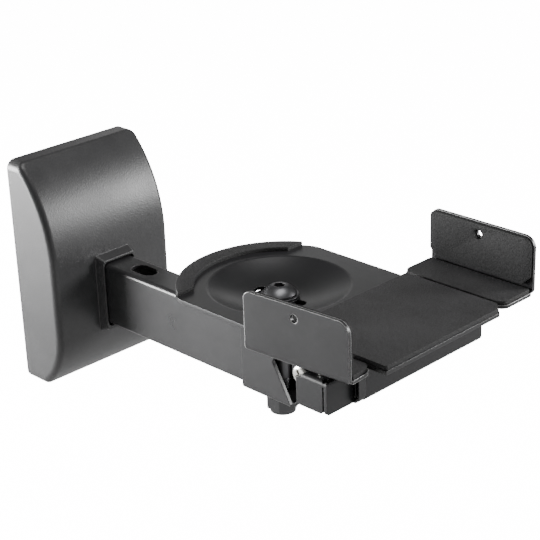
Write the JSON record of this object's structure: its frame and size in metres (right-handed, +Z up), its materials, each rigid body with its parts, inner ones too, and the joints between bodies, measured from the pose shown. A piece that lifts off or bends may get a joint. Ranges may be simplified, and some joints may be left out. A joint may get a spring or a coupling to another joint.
{
  "type": "speaker wall bracket",
  "caption": "Wall bracket for a loudspeaker: a box arm from a covered wall plate carries a foam-faced tray on a dished pivot, with lipped side clamps drawn in by a screw.",
  "frame": {"origin": "on the wall, on the arm's axis, at the centre of the wall screw holes", "axes": "+X out from the wall along the arm, +Y to the tray's far side, +Z up"},
  "size_m": [0.3083, 0.1576, 0.1512],
  "materials": {
    "plate_zinc": "zinc plated sheet",
    "cover_plastic": "moulded, fine texture, soft sheen",
    "arm_paint": "powder coat, satin black",
    "frame_paint": "powder coat, satin black",
    "tray_paint": "powder coat, satin black",
    "dark_steel": "black oxide",
    "seat_steel": "powder coat",
    "nut_zinc": "zinc plated",
    "screw_zinc": "bright zinc plated",
    "rivet_steel": "plain steel",
    "nylon_black": "nylon",
    "liner_plastic": "moulded slide liner",
    "foam": "closed cell foam, fine grain"
  },
  "bodies": {
    "root": {"wall_plate": "plate_zinc", "wall_cover": "cover_plastic", "arm_tube": "arm_paint", "arm_end_bracket": "frame_paint", "pivot_bolt": "dark_steel", "head_washer": "dark_steel", "bottom_washer": "dark_steel", "lock_nut": "nut_zinc", "nut_insert": "nylon_black"},
    "swivel": {"pivot_seat": "frame_paint", "dished_washer": "seat_steel"},
    "tray": {"tray_plate": "tray_paint", "rim_pad": "foam", "front_pad": "foam", "guide_channel": "frame_paint", "slide_liner": "liner_plastic", "channel_rivets": "rivet_steel"},
    "near_clamp": {"near_clamp_plate": "tray_paint", "near_clamp_lip_pad": "foam", "near_clamp_shelf_pad": "foam", "near_clamp_slide": "frame_paint", "near_clamp_spacers": "rivet_steel", "screw_washer": "screw_zinc"},
    "far_clamp": {"far_clamp_plate": "tray_paint", "far_clamp_lip_pad": "foam", "far_clamp_shelf_pad": "foam", "far_clamp_slide": "frame_paint", "far_clamp_spacers": "rivet_steel", "clamp_nut": "nut_zinc"},
    "clamp_screw": {"clamp_screw": "screw_zinc"}
  },
  "joints": [
    {"name": "swivel_turn", "type": "hinge", "parent": "root", "child": "swivel", "pos_m": [0.19, 0, 0.03], "axis": [0, 0, 1], "range_deg": [-90, 90]},
    {"name": "tray_tilt", "type": "hinge", "parent": "swivel", "child": "tray", "pos_m": [0.19, 0, 0.131], "axis": [0, 1, 0], "range_deg": [-8, 8]},
    {"name": "near_clamp_slide", "type": "slide", "parent": "tray", "child": "near_clamp", "axis": [0, -1, 0], "range_m": [0, 0.02]},
    {"name": "far_clamp_slide", "type": "slide", "parent": "tray", "child": "far_clamp", "axis": [0, 1, 0], "range_m": [0, 0.025]},
    {"name": "clamp_screw_turn", "type": "hinge", "parent": "near_clamp", "child": "clamp_screw", "pos_m": [0.264, -0.06, 0.035], "axis": [0, 1, 0], "continuous": true}
  ]
}
